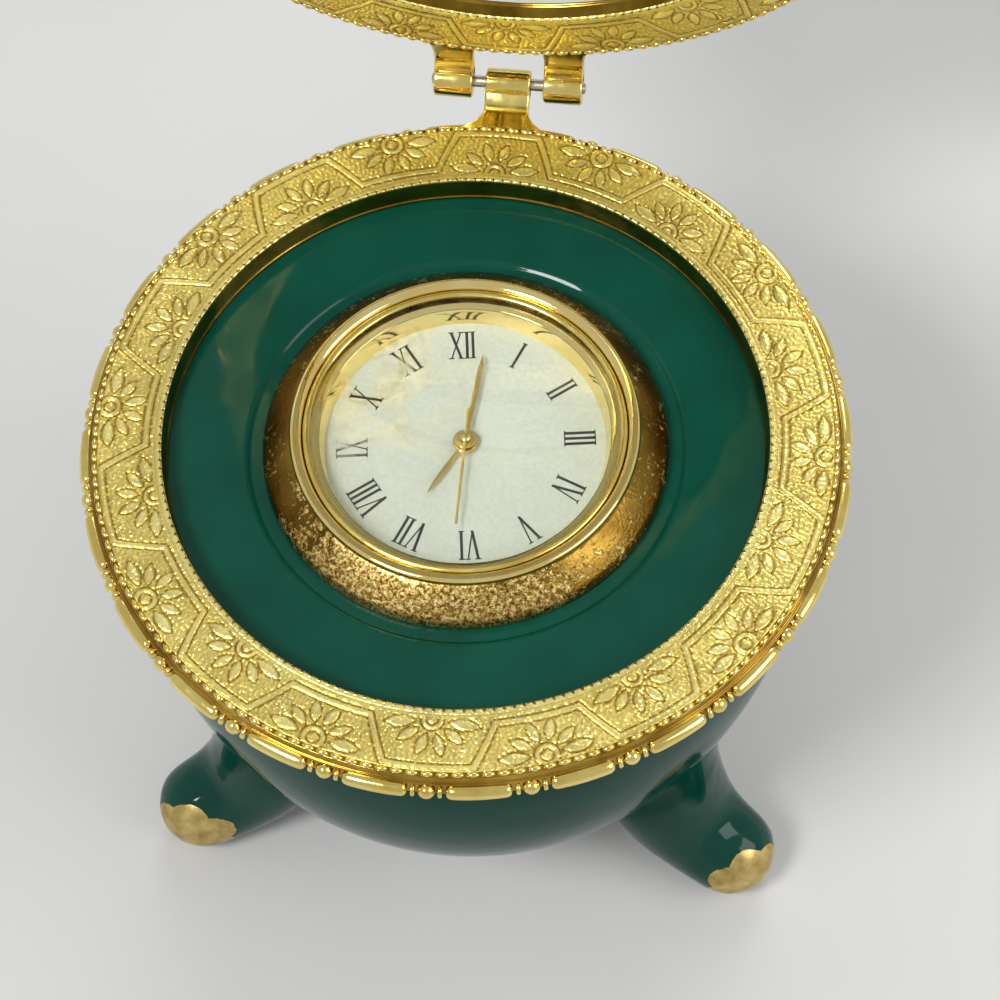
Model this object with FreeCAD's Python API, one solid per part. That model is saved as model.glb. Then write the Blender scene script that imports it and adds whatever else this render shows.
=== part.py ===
import FreeCAD, Part
import math
import os

# Egg-shaped hinged box clock: a green porcelain bowl on three feet, a domed porcelain lid on a
# brass hinge, and a small round quartz clock that drops into a hole in the bowl's deck.
# Millimetres. +Z is up and the hinge is at the back, on +Y. The model is built round the bowl's
# upright axis, with the tabletop at z = 0 and the lid shut. It is opened and set over the middle
# of its footprint when it is written.

# Whole object
bowl_lift = 4.0
lid_open_degrees = 83.4
band_gap = 0.3
overrun = 1.0

# Porcelain bowl: the shares say how far down the egg each band of flat facets ends
bowl_radius = 31.7
bowl_depth = 51.0
bowl_wall = 3.0
bowl_fullness_share = 2.4
bowl_bands_share = (0.22, 0.44, 0.64, 0.8, 0.91, 0.98)
bowl_hollow_bands_share = (0.5, 0.85)
egg_sides_share = 60
pole_radius = 3.0
shoulder_drop = 3.0
ledge_width = 1.3
ledge_height = 2.5
glue_gap = 0.3

# Feet: places on the centre line of one leg as how far in from the bowl's widest circle they
# are, their height and the leg's radius there
leg_count_share = 3
leg_first_degrees = 90.0
leg_sides_share = 12
leg_root_radius = 6.6
leg_ankle_radius = 6.3
leg_instep_radius = 5.8
leg_toe_neck_radius = 5.1
toe_radius = 4.7
toe_turns_share = (0.35, 0.65, 0.88)
sole_cut = 0.25
toe_inset = 0.7
leg_root_inset = 10.2
leg_knee_inset = 10.7
leg_ankle_inset = 9.5
leg_instep_inset = 7.1
leg_toe_neck_inset = 3.9
leg_root_height = 30.0
leg_knee_height_share = 0.8
leg_shin_height_share = 0.6
leg_ankle_height_share = 0.41333333
leg_instep_height_share = 0.26
leg_toe_neck_height_share = 0.17833333

# Gilt rims, the same section on bowl and lid
band_inset = 5.0
band_overhang = 1.2
band_thickness = 0.9
inner_wall_depth = 2.65
inner_wall_thickness = 0.8
inner_wall_taper = 0.2
roll_overhang = 1.15
roll_centre_drop = 1.8
skirt_depth = 2.95
skirt_thickness = 1.0

# Lid
lid_height = 44.0
lid_wall = 2.6
lid_fullness_share = 1.85
lid_bands_share = (0.25, 0.48, 0.68, 0.84, 0.95)
lid_hollow_bands_share = (0.4, 0.7, 0.9)

# Hinge
hinge_overhang = 3.6
knuckle_radius = 1.35
lid_knuckle_radius = 1.6
knuckle_length = 4.2
lid_knuckle_length = 3.7
knuckle_gap = 1.2
pin_radius = 0.55
pin_play = 0.05
pin_end = 0.25
arm_thickness = 1.4
arm_drop = 0.35
arm_flare = 0.95
arm_flare_length = 2.3
stop_top = 0.7
stop_thickness = 1.2
stop_play = 0.05
stop_pad_width = 15.4
stop_pad_drop = 1.0

# Deck
deck_play = 0.3
deck_thickness = 1.8
deck_recess_margin = 1.3
deck_recess_depth = 0.3

# Clock insert: heights are measured from the face that the bezel sits on
dial_turn_degrees = 6.7
bezel_overlap = 1.1
bezel_edge_height = 1.4
bezel_slope_width = 2.5
lip_height = 4.5
lip_width = 1.0
lip_shoulder = 0.2
crystal_drop = 1.2
crystal_thickness = 1.0
dial_top = 0.38
dial_thickness = 0.4
dial_hole_radius = 0.85
reflector_width = 1.3
reflector_edge = 0.9
press_play = 0.05
case_radius = 15.3
case_wall = 0.6
case_depth = 5.5
grip_thickness = 1.48
grip_fit = 0.12
grip_height = 2.4
grip_drop = 0.6
grip_slot = 3.0
cap_thickness = 0.7
cap_boss_height = 0.8

# Movement, battery and strap
movement_depth = 4.5
battery_radius = 3.4
battery_height = 2.1
battery_edge = 4.7
battery_degrees = 250.0
battery_play = 0.15
strap_width = 1.6
strap_thickness = 0.15
strap_foot = 1.2

# Hands and the pipes that carry them
hour_hand_length = 5.9
minute_hand_length = 8.6
second_hand_length = 8.3
second_tail_length = 3.0
hour_hand_width = 0.62
minute_hand_width = 0.52
second_hand_width = 0.16
second_tail_width = 0.36
hand_tip_width = 0.16
hand_thickness = 0.12
hour_hub_radius = 1.15
minute_hub_radius = 0.95
second_hub_radius = 0.45
hour_hand_lift = 0.26
hand_step = 0.34
hour_hand_degrees = 214.0
minute_hand_degrees = 10.7
second_hand_degrees = 186.0
hour_pipe_radius = 0.72
hour_pipe_bore = 0.5
minute_pipe_radius = 0.44
minute_pipe_bore = 0.21
second_arbor_radius = 0.15
pipe_play = 0.06
pipe_depth = 1.2
pipe_step = 0.4

# Setting stem
stem_radius = 0.35
stem_play = 0.06
stem_drop = 1.5
stem_inner_reach = 4.6
stem_travel = 0.7
crown_radius = 1.0
crown_thickness = 0.65
crown_sides_share = 20
crown_gap = 0.1

X_AXIS = FreeCAD.Vector(1, 0, 0)
Y_AXIS = FreeCAD.Vector(0, 1, 0)
Z_AXIS = FreeCAD.Vector(0, 0, 1)
rim_top = bowl_lift + bowl_depth + shoulder_drop
band_inner_radius = bowl_radius - band_inset
band_outer_radius = bowl_radius + band_overhang
roll_reach = band_outer_radius + roll_overhang
hinge_reach = roll_reach + hinge_overhang
deck_radius = bowl_radius - bowl_wall - deck_play
toe_reach = bowl_radius - toe_inset
hinge_height = rim_top + band_gap / 2
grip_radius = case_radius + grip_thickness
deck_hole_radius = grip_radius + grip_fit
bezel_radius = deck_hole_radius + bezel_overlap
deck_recess_radius = bezel_radius + deck_recess_margin
lip_outer_radius = bezel_radius - bezel_slope_width
bezel_bore_radius = lip_outer_radius - lip_width - lip_shoulder
reflector_top_radius = bezel_bore_radius - reflector_edge
dial_opening_radius = reflector_top_radius - reflector_width
battery_reach = case_radius - battery_radius - battery_edge
deck_top = rim_top - inner_wall_depth
insert_seat = deck_top - deck_recess_depth


def at(x, y, z):
    return FreeCAD.Vector(x, y, z)


def polar(reach, degrees, z=0.0):
    turn = math.radians(degrees)
    return at(reach * math.cos(turn), reach * math.sin(turn), z)


def disc(radius, low, high, x=0.0, y=0.0):
    return Part.makeCylinder(radius, high - low, at(x, y, low))


def ring(outer, inner, low, high, x=0.0, y=0.0):
    return disc(outer, low, high, x, y).cut(disc(inner, low - overrun, high + overrun, x, y))


def block(low, high):
    size = high - low
    return Part.makeBox(size.x, size.y, size.z, low)


def turned(points):
    """A solid turned about the upright axis from (radius, height) points."""
    corners = [at(r, 0, z) for r, z in points]
    face = Part.Face(Part.makePolygon(corners + corners[:1]))
    return face.revolve(at(0, 0, 0), Z_AXIS, 360)


def plate(points, low, high):
    """A flat plate cut to an outline of (x, y) points."""
    corners = [at(x, y, low) for x, y in points]
    face = Part.Face(Part.makePolygon(corners + corners[:1]))
    return face.extrude(at(0, 0, high - low))


def bar(points, left, right):
    """A bar along X with a section of (y, z) points."""
    corners = [at(left, y, z) for y, z in points]
    face = Part.Face(Part.makePolygon(corners + corners[:1]))
    return face.extrude(at(right - left, 0, 0))


def level_hoop(radius, height):
    """The corners of a level many-sided ring about the upright axis."""
    step = 2 * math.pi / egg_sides_share
    return [
        at(radius * math.cos(i * step), radius * math.sin(i * step), height)
        for i in range(egg_sides_share)
    ]


def faceted(hoops):
    """A closed solid over a stack of rings that have the same number of corners."""
    faces = [Part.Face(Part.makePolygon(end + end[:1])) for end in (hoops[0], hoops[-1])]
    for here, ahead in zip(hoops, hoops[1:]):
        for i in range(len(here)):
            a, b, c, d = here[i - 1], here[i], ahead[i], ahead[i - 1]
            faces.append(Part.Face(Part.makePolygon([a, b, c, a])))
            faces.append(Part.Face(Part.makePolygon([a, c, d, a])))
    return Part.Solid(Part.Shell(faces))


def egg_hoops(radius, depth, fullness, bands, wide_z, sign):
    """The rings of an egg's round end, upwards from its widest one for a sign of 1."""
    hoops = [level_hoop(radius, wide_z)]
    for share in bands:
        hoops.append(level_hoop(radius * math.sqrt(1 - share**fullness), wide_z + sign * depth * share))
    return hoops + [level_hoop(pole_radius, wide_z + sign * depth)]


def bowl_hoops(wall, bands):
    shoulder = rim_top - shoulder_drop
    return egg_hoops(bowl_radius - wall, bowl_depth - wall, bowl_fullness_share, bands, shoulder, -1)


def lid_hoops(wall, bands):
    shoulder = rim_top + band_gap + shoulder_drop
    return egg_hoops(bowl_radius - wall, lid_height - wall, lid_fullness_share, bands, shoulder, 1)


def leg_hoop(radius, centre, dive):
    """A ring square to the leg's line, which dives below the level by an angle."""
    corners = []
    slope = math.radians(dive)
    for i in range(leg_sides_share):
        turn = 2 * math.pi * (i + 0.5) / leg_sides_share
        across, up = radius * math.sin(turn), radius * math.cos(turn)
        corners.append(centre + at(up * math.sin(slope), across, up * math.cos(slope)))
    return corners


def leg(degrees):
    """One leg, faceted down its line and out to a rounded toe."""
    stations = [
        (bowl_radius - leg_root_inset, leg_root_height, leg_root_radius),
        (bowl_radius - leg_knee_inset, leg_root_height * leg_knee_height_share, leg_root_radius),
        (bowl_radius - leg_knee_inset, leg_root_height * leg_shin_height_share, leg_root_radius),
        (bowl_radius - leg_ankle_inset, leg_root_height * leg_ankle_height_share, leg_ankle_radius),
        (bowl_radius - leg_instep_inset, leg_root_height * leg_instep_height_share, leg_instep_radius),
        (bowl_radius - leg_toe_neck_inset, leg_root_height * leg_toe_neck_height_share, leg_toe_neck_radius),
        (toe_reach, toe_radius - sole_cut, toe_radius),
    ]
    centres = [at(reach, 0, height) for reach, height, _ in stations]
    hoops = []
    for i, (_, _, radius) in enumerate(stations[:-1]):
        ahead = centres[i + 1] - centres[max(i - 1, 0)]
        hoops.append(leg_hoop(radius, centres[i], math.degrees(math.atan2(-ahead.z, ahead.x))))
    hoops.append(leg_hoop(toe_radius, centres[-1], 0.0))
    for share in toe_turns_share:
        turn = math.pi / 2 * share
        out = at(toe_radius * math.sin(turn), 0, 0)
        hoops.append(leg_hoop(toe_radius * math.cos(turn), centres[-1] + out, 0.0))
    limb = faceted(hoops)
    limb.rotate(at(0, 0, 0), Z_AXIS, degrees)
    return limb


def porcelain_bowl():
    neck_top = rim_top - band_thickness
    ledge = deck_top - deck_thickness
    mouth_radius = bowl_radius - bowl_wall
    body = faceted([level_hoop(bowl_radius, neck_top)] + bowl_hoops(0.0, bowl_bands_share))
    for i in range(leg_count_share):
        body = body.fuse(leg(leg_first_degrees + 360.0 * i / leg_count_share))
    mouth = [
        level_hoop(mouth_radius, neck_top + overrun),
        level_hoop(mouth_radius, ledge),
        level_hoop(mouth_radius - ledge_width, ledge),
        level_hoop(mouth_radius - ledge_width, ledge - ledge_height),
        level_hoop(mouth_radius, ledge - ledge_height),
    ]
    body = body.cut(faceted(mouth + bowl_hoops(bowl_wall, bowl_hollow_bands_share)[1:]))
    reach = toe_reach + toe_radius + overrun
    floor = block(at(-reach, -reach, -toe_radius), at(reach, reach, 0))
    return body.cut(floor)


def rim():
    """The gilt rim's turned section, with the band's face at height 0 and the skirt below it."""
    wall_foot = band_inner_radius - inner_wall_taper
    skirt_inner = bowl_radius + glue_gap
    return turned(
        [
            (band_inner_radius, 0),
            (band_outer_radius, 0),
            (roll_reach, -roll_centre_drop),
            (skirt_inner + skirt_thickness, -skirt_depth),
            (skirt_inner, -skirt_depth),
            (skirt_inner, -band_thickness),
            (wall_foot + inner_wall_thickness, -band_thickness),
            (wall_foot + inner_wall_thickness, -inner_wall_depth),
            (wall_foot, -inner_wall_depth),
        ]
    )


def hinge_arm(left, right, radius, bore):
    """An arm and its knuckle for a rim whose face is at height 0, with the hinge axis above it."""
    rise = band_gap / 2
    root = band_outer_radius - arm_drop
    shoulder = roll_reach + arm_drop
    section = [
        (root, -arm_drop / 2),
        (shoulder, -arm_drop),
        (hinge_reach - radius / 2, rise + radius * math.cos(math.radians(30))),
        (hinge_reach, rise),
        (hinge_reach - radius / 2, rise - radius * math.cos(math.radians(30))),
        (shoulder, -arm_drop - arm_thickness),
        (root, -arm_drop - arm_thickness),
    ]
    arm = bar(section, left, right)
    flare = [
        (left - arm_flare, root),
        (left, root + arm_flare_length),
        (right, root + arm_flare_length),
        (right + arm_flare, root),
    ]
    arm = arm.fuse(plate(flare, -arm_drop - arm_thickness, -arm_drop))
    arm = arm.fuse(Part.makeCylinder(radius, right - left, at(left, hinge_reach, rise), X_AXIS))
    length = right - left + overrun + overrun
    return arm.cut(Part.makeCylinder(bore, length, at(left - overrun, hinge_reach, rise), X_AXIS))


def lid_knuckle_span(side):
    inner = knuckle_length / 2 + knuckle_gap
    outer = inner + lid_knuckle_length
    return (inner, outer) if side > 0 else (-outer, -inner)


def bowl_rim():
    body = rim().fuse(hinge_arm(-knuckle_length / 2, knuckle_length / 2, knuckle_radius, pin_radius))
    skirt_inner = bowl_radius + glue_gap
    pad = block(
        at(-stop_pad_width / 2, skirt_inner, -skirt_depth),
        at(stop_pad_width / 2, roll_reach + stop_play, -stop_pad_drop),
    )
    pad = pad.cut(disc(skirt_inner, -skirt_depth - overrun, 0))
    body = body.fuse(pad)
    body.translate(at(0, 0, rim_top))
    return body


def stop_heel(left, right):
    """A heel on a lid knuckle that meets the bowl's rim when the lid is fully open."""
    tip = roll_reach + stop_play + stop_play
    low = hinge_height - stop_top - stop_thickness
    heel = block(at(left, tip, low), at(right, hinge_reach, hinge_height - stop_top))
    heel = heel.cut(
        Part.makeCylinder(pin_radius + pin_play, right - left, at(left, hinge_reach, hinge_height), X_AXIS)
    )
    heel.rotate(at(0, hinge_reach, hinge_height), X_AXIS, lid_open_degrees)
    return heel


def lid_rim():
    body = rim()
    for side in (-1, 1):
        left, right = lid_knuckle_span(side)
        body = body.fuse(hinge_arm(left, right, lid_knuckle_radius, pin_radius + pin_play))
    body = body.mirror(at(0, 0, 0), Z_AXIS)
    body.translate(at(0, 0, rim_top + band_gap))
    for side in (-1, 1):
        body = body.fuse(stop_heel(*lid_knuckle_span(side)))
    return body


def lid_shell():
    foot = rim_top + band_gap + band_thickness
    body = faceted([level_hoop(bowl_radius, foot)] + lid_hoops(0.0, lid_bands_share))
    mouth = [level_hoop(bowl_radius - lid_wall, foot - overrun)]
    return body.cut(faceted(mouth + lid_hoops(lid_wall, lid_hollow_bands_share)))


def hinge_pin():
    half = knuckle_length / 2 + knuckle_gap + lid_knuckle_length + pin_end
    return Part.makeCylinder(pin_radius, half + half, at(-half, hinge_reach, hinge_height), X_AXIS)


def deck_plate():
    low = deck_top - deck_thickness
    body = ring(deck_radius, deck_hole_radius, low, deck_top)
    return body.cut(disc(deck_recess_radius, insert_seat, deck_top + overrun))


# The insert's pieces are built with the bezel's seat at height 0 and the dial's twelve on +Y.
crystal_top = lip_height - crystal_drop
reflector_top = crystal_top - crystal_thickness
dial_low = dial_top - dial_thickness
case_inner = case_radius - case_wall
hour_hand_low = dial_top + hour_hand_lift
minute_hand_low = hour_hand_low + hand_step
second_hand_low = minute_hand_low + hand_step
stem_height = dial_low - stem_drop


def bezel():
    lip_inner = lip_outer_radius - lip_width
    return turned(
        [
            (bezel_bore_radius, 0),
            (bezel_radius, 0),
            (bezel_radius, bezel_edge_height),
            (lip_outer_radius, lip_height),
            (lip_inner, lip_height - lip_width / 3),
            (bezel_bore_radius, crystal_top),
        ]
    )


def crystal():
    return disc(bezel_bore_radius - press_play, reflector_top, crystal_top)


def reflector_ring():
    outer = bezel_bore_radius - press_play
    return turned(
        [
            (dial_opening_radius, dial_top),
            (outer, dial_top),
            (outer, reflector_top),
            (reflector_top_radius, reflector_top),
        ]
    )


def dial():
    return ring(bezel_bore_radius - press_play, dial_hole_radius, dial_low, dial_top)


def stem_hole(start, reach):
    return Part.makeCylinder(stem_radius + stem_play, reach, at(start, 0, stem_height), X_AXIS)


def case_cup():
    body = ring(case_radius, case_inner, -case_depth, 0)
    return body.cut(stem_hole(0, case_radius + overrun))


def grip_ring():
    top = -grip_drop
    body = ring(grip_radius, case_radius, top - grip_height, top)
    slot_low = at(0, -grip_slot / 2, top - grip_height - overrun)
    slot = block(slot_low, at(grip_radius + overrun, grip_slot / 2, 0))
    return body.cut(slot)


def back_cap():
    low = -case_depth - cap_thickness
    body = disc(case_radius, low, -case_depth)
    return body.fuse(disc(case_inner - press_play, -case_depth, -case_depth + cap_boss_height))


def battery_place():
    return polar(battery_reach, battery_degrees)


def movement():
    """The movement in its moulded holder, bored for the hands' pipes, the stem and the battery."""
    low = -movement_depth
    body = disc(case_inner - press_play, low, dial_low)
    place = battery_place()
    pocket_top = low + battery_height + battery_play
    cuts = [
        disc(battery_radius + battery_play, low - overrun, pocket_top, place.x, place.y),
        stem_hole(stem_inner_reach, case_radius),
    ]
    depth = dial_low - pipe_depth
    for radius in (hour_pipe_radius, minute_pipe_radius, second_arbor_radius):
        cuts.append(disc(radius + pipe_play, depth - pipe_play, dial_low + overrun))
        depth -= pipe_step
    return body.cut(cuts)


def battery():
    place = battery_place()
    low = -movement_depth
    return disc(battery_radius, low, low + battery_height, place.x, place.y)


def battery_strap():
    """A spring strip across the battery's back, with a foot on the movement at each end."""
    place = battery_place()
    reach = battery_radius + battery_play + strap_foot
    low = -movement_depth - strap_thickness
    return block(
        at(place.x - reach, place.y - strap_width / 2, low),
        at(place.x + reach, place.y + strap_width / 2, -movement_depth),
    )


def setting_stem():
    length = case_radius + crown_gap - stem_inner_reach
    return Part.makeCylinder(stem_radius, length, at(stem_inner_reach, 0, stem_height), X_AXIS)


def crown():
    """A knurled crown: a many-sided button whose flats are the grip."""
    start = case_radius + crown_gap
    corners = []
    for i in range(crown_sides_share + 1):
        turn = 2 * math.pi * i / crown_sides_share
        corners.append(
            at(start, crown_radius * math.cos(turn), stem_height + crown_radius * math.sin(turn))
        )
    return Part.Face(Part.makePolygon(corners)).extrude(at(crown_thickness, 0, 0))


def hand(length, width, hub, low, degrees, tail=0.0, tail_width=0.0):
    """A flat tapered hand on a round hub, turned clockwise from twelve by degrees."""
    blade = plate(
        [(-width / 2, 0), (-hand_tip_width / 2, length), (hand_tip_width / 2, length), (width / 2, 0)],
        low, low + hand_thickness,
    )
    body = disc(hub, low, low + hand_thickness).fuse(blade)
    if tail:
        counter = block(at(-tail_width / 2, -tail, low), at(tail_width / 2, 0, low + hand_thickness))
        body = body.fuse(counter)
    body.rotate(at(0, 0, 0), Z_AXIS, -degrees)
    return body


def hour_hand():
    top = hour_hand_low + hand_thickness
    low = dial_low - pipe_depth
    body = hand(
        hour_hand_length, hour_hand_width, hour_hub_radius, hour_hand_low, hour_hand_degrees
    )
    body = body.fuse(disc(hour_pipe_radius, low, top))
    return body.cut(disc(hour_pipe_bore, low - overrun, top + overrun))


def minute_hand():
    top = minute_hand_low + hand_thickness
    low = dial_low - pipe_depth - pipe_step
    body = hand(
        minute_hand_length, minute_hand_width, minute_hub_radius, minute_hand_low,
        minute_hand_degrees,
    )
    body = body.fuse(disc(minute_pipe_radius, low, top))
    return body.cut(disc(minute_pipe_bore, low - overrun, top + overrun))


def second_hand():
    low = dial_low - pipe_depth - pipe_step - pipe_step
    body = hand(
        second_hand_length, second_hand_width, second_hub_radius, second_hand_low,
        second_hand_degrees, second_tail_length, second_tail_width,
    )
    return body.fuse(disc(second_arbor_radius, low, second_hand_low))


BOWL_PIECES = (porcelain_bowl, bowl_rim, deck_plate, hinge_pin)
LID_PIECES = (lid_shell, lid_rim)
INSERT_PIECES = (
    bezel, crystal, reflector_ring, dial, case_cup, grip_ring, movement, battery, battery_strap,
    back_cap, setting_stem, crown, hour_hand, minute_hand, second_hand,
)


def build():
    """Every node by name, with the lid open and the insert in its hole."""
    nodes = {make.__name__: make() for make in BOWL_PIECES}
    for make in LID_PIECES:
        shape = make()
        shape.rotate(at(0, hinge_reach, hinge_height), X_AXIS, -lid_open_degrees)
        nodes[make.__name__] = shape
    for make in INSERT_PIECES:
        shape = make()
        shape.rotate(at(0, 0, 0), Z_AXIS, dial_turn_degrees)
        shape.translate(at(0, 0, insert_seat))
        nodes[make.__name__] = shape
    return nodes


def footprint_shift(nodes):
    """What brings the middle of the open clock's footprint onto the origin."""
    boxes = [nodes[name].optimalBoundingBox(False, False) for name in ("bowl_rim", "lid_shell", "lid_rim")]
    front = min(box.YMin for box in boxes)
    back = max(box.YMax for box in boxes)
    return -(front + back) / 2


if __name__ == "__main__":
    os.makedirs("parts", exist_ok=True)
    made = build()
    shift = footprint_shift(made)
    print("bowl axis at y = %.4f mm" % shift)
    for name, solid in made.items():
        solid.translate(at(0, shift, 0))
        solid.exportStep("parts/%s.step" % name)
        print("%-18s solids %d valid %s volume %.2f" % (
            name, len(solid.Solids), solid.isValid(), solid.Volume))
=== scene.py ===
import math

import bmesh
import bpy
import numpy as np
from mathutils import Matrix, Vector


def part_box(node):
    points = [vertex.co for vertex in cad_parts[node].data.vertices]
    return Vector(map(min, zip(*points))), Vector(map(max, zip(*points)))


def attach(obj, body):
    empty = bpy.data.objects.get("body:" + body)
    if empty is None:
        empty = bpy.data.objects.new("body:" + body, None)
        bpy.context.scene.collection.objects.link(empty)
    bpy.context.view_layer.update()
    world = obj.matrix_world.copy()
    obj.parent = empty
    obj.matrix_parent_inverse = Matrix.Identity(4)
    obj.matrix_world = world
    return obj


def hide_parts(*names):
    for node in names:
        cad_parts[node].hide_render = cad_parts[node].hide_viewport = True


# An egg-shaped porcelain box clock with embossed gilt rims, seen from above with its lid leaned back.
# Sizes are in millimetres until a mesh is written. Pieces are made about the bowl's upright axis
# with the rim's face at height 0, and then set in place by one matrix.

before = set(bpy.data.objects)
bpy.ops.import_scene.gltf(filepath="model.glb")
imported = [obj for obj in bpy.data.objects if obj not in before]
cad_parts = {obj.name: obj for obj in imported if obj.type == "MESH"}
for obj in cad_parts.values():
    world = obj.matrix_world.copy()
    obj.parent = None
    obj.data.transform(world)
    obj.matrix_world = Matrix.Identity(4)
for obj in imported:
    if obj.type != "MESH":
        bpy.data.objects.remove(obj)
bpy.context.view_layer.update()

MM = 0.001
# Heights over the table, the hinge line's distance from the axis, and angles in degrees
RIM_TOP = 58.0
BAND_GAP = 0.3
LID_OPEN = 83.4
HINGE_REACH = 37.65
ORNAMENT_TURN = 0.65
DIAL_TURN = 8.2
INSERT_SEAT = 55.05
INK_LOW, INK_TOP = 0.375, 0.40

# The egg: its widest radius, how far bowl and lid go on from their shoulders, and how full they are
EGG_RADIUS = 31.7
BOWL_SHOULDER, BOWL_MOUTH = 55.0, 57.0
BOWL_DEPTH, BOWL_WALL, BOWL_FULLNESS = 51.0, 3.0, 2.4
LID_DEPTH, LID_WALL, LID_FULLNESS = 44.0, 2.6, 1.85

# A leg's centre line as (reach, height, radius), its end being the toe, and each leg's direction
# with the lean of its toe's painted patch
LEG = [(21.5, 30.0, 6.6), (21.0, 24.0, 6.6), (21.0, 18.0, 6.6), (22.2, 12.4, 6.3),
       (24.6, 7.8, 5.8), (27.8, 5.35, 5.1), (31.0, 4.45, 4.7)]
LEG_TURNS = ((90, 0), (210, 47), (330, -26))

deck_low, deck_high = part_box("deck_plate")
AXIS_Y = (deck_low.y + deck_high.y) / 2 / MM

IN_PLACE = Matrix.Translation((0, AXIS_Y, 0))
ON_BOWL = IN_PLACE @ Matrix.Translation((0, 0, RIM_TOP))
HINGE = Matrix.Translation((0, HINGE_REACH, RIM_TOP + BAND_GAP / 2))
LID_SWING = IN_PLACE @ HINGE @ Matrix.Rotation(math.radians(-LID_OPEN), 4, "X") @ HINGE.inverted()
# The lid's rim is the bowl's turned over: its ornament about X, its knuckles about Y
LID_MOUTH = LID_SWING @ Matrix.Translation((0, 0, RIM_TOP + BAND_GAP))
ON_LID = LID_MOUTH @ Matrix.Rotation(math.pi, 4, "X")
ON_LID_BACK = LID_MOUTH @ Matrix.Rotation(math.pi, 4, "Y")
ORNAMENT = Matrix.Rotation(math.radians(ORNAMENT_TURN), 4, "Z")
ON_SEAT = IN_PLACE @ Matrix.Translation((0, 0, INSERT_SEAT))
ON_INSERT = ON_SEAT @ Matrix.Rotation(math.radians(DIAL_TURN), 4, "Z")


# Materials

def tone(code):
    """An sRGB hex colour as linear RGBA."""
    parts = [int(code[i:i + 2], 16) / 255 for i in (1, 3, 5)]
    return [p / 12.92 if p <= 0.04045 else ((p + 0.055) / 1.055) ** 2.4 for p in parts] + [1.0]


NOISE, CELLS, RANGE = "ShaderNodeTexNoise", "ShaderNodeTexVoronoi", "ShaderNodeMapRange"
MATHS, RAMP, MIX = "ShaderNodeMath", "ShaderNodeValToRGB", "ShaderNodeMix"
BUMP, SKIN, END = "ShaderNodeBump", "ShaderNodeBsdfPrincipled", "ShaderNodeOutputMaterial"


def add(tree, kind, inputs=(), out=0, **settings):
    """Adds one node and gives one of its outputs. Inputs, in order or by name, are values or the
    outputs that feed them, and a ramp's stops are (place, hex) pairs."""
    item = tree.nodes.new(kind)
    stops = settings.pop("stops", ())
    while len(stops) > 2 and len(item.color_ramp.elements) < len(stops):
        item.color_ramp.elements.new(0.5)
    for element, (place, code) in zip(item.color_ramp.elements if stops else (), stops):
        element.position = place
        element.color = tone(code)
    for key, value in settings.items():
        setattr(item, key, value)
    for key, value in inputs.items() if isinstance(inputs, dict) else enumerate(inputs):
        if isinstance(value, bpy.types.NodeSocket):
            tree.links.new(value, item.inputs[key])
        else:
            item.inputs[key].default_value = value
    return item.outputs[out] if item.outputs else None


def material(name):
    """A new material, its empty tree, and the place in the object that its patterns read."""
    made = bpy.data.materials.new(name)
    made.use_nodes = True
    made.node_tree.nodes.clear()
    return made, made.node_tree, add(made.node_tree, "ShaderNodeTexCoord", out="Object")


def across(place, size_mm, detail=3.0, roughness=0.55):
    """What a noise reads to have features about size_mm across."""
    return {"Vector": place, "Scale": 1 / (size_mm * MM), "Detail": detail, "Roughness": roughness}


def embossed_gilding():
    """Die-struck brass, gilt: pale lemon on the raised forms and the sanded ground, brown in the
    cut lines. The colour follows the relief: painted shade in the cut lines, painted highlight on the
    raised forms."""
    made, tree, place = material("gilt_embossed_brass")
    relief = add(tree, "ShaderNodeAttribute", out="Fac", attribute_name="relief")
    # Colour by the relief's height: painted shade low in the cut lines, painted highlight on the raised
    # tops
    height = add(tree, RAMP, (relief,), stops=[
        (0.05, "#7c5c1e"), (0.32, "#c8ac56"), (0.5, "#ecd97c"), (0.9, "#fff6ae")])
    patches = add(tree, NOISE, across(place, 7.0))
    stained = add(tree, RAMP, (patches,), stops=[(0.36, "#c2a95a"), (0.6, "#ffffff")])
    colour = add(tree, MIX, {0: 0.3, 6: height, 7: stained}, 2, data_type="RGBA", blend_type="MULTIPLY")
    # Stipple of 0.3 mm, as the punch left it, and a finer cast skin
    stipple = add(tree, CELLS, {"Vector": place, "Scale": 1 / (0.34 * MM)})
    normal = add(tree, BUMP, {"Strength": 0.6, "Distance": 0.06 * MM, "Height": stipple})
    cast = add(tree, NOISE, across(place, 0.2))
    normal = add(tree, BUMP, {
        "Strength": 0.6, "Distance": 0.04 * MM, "Height": cast, "Normal": normal})
    rough = add(tree, RANGE, (add(tree, NOISE, across(place, 3.0)), 0.35, 0.65, 0.27, 0.42))
    skin = add(tree, SKIN, {
        "Metallic": 1.0, "Base Color": colour, "Roughness": rough, "Normal": normal})
    add(tree, END, (skin,))
    return made


def polished_gilding(name, low, high, rough_low, rough_high):
    """Polished gilt brass: a clear reflection, slightly uneven, with faint handling haze."""
    made, tree, place = material(name)
    drift = add(tree, NOISE, across(place, 4.0))
    colour = add(tree, RAMP, (drift,), stops=[(0.3, low), (0.7, high)])
    haze = add(tree, NOISE, across(place, 1.6, 4.0))
    rough = add(tree, RANGE, (haze, 0.4, 0.7, rough_low, rough_high))
    waves = add(tree, NOISE, across(place, 1.1))
    normal = add(tree, BUMP, {"Strength": 0.35, "Distance": 0.02 * MM, "Height": waves})
    skin = add(tree, SKIN, {
        "Metallic": 1.0, "Base Color": colour, "Roughness": rough, "Normal": normal})
    add(tree, END, (skin,))
    return made


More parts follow.
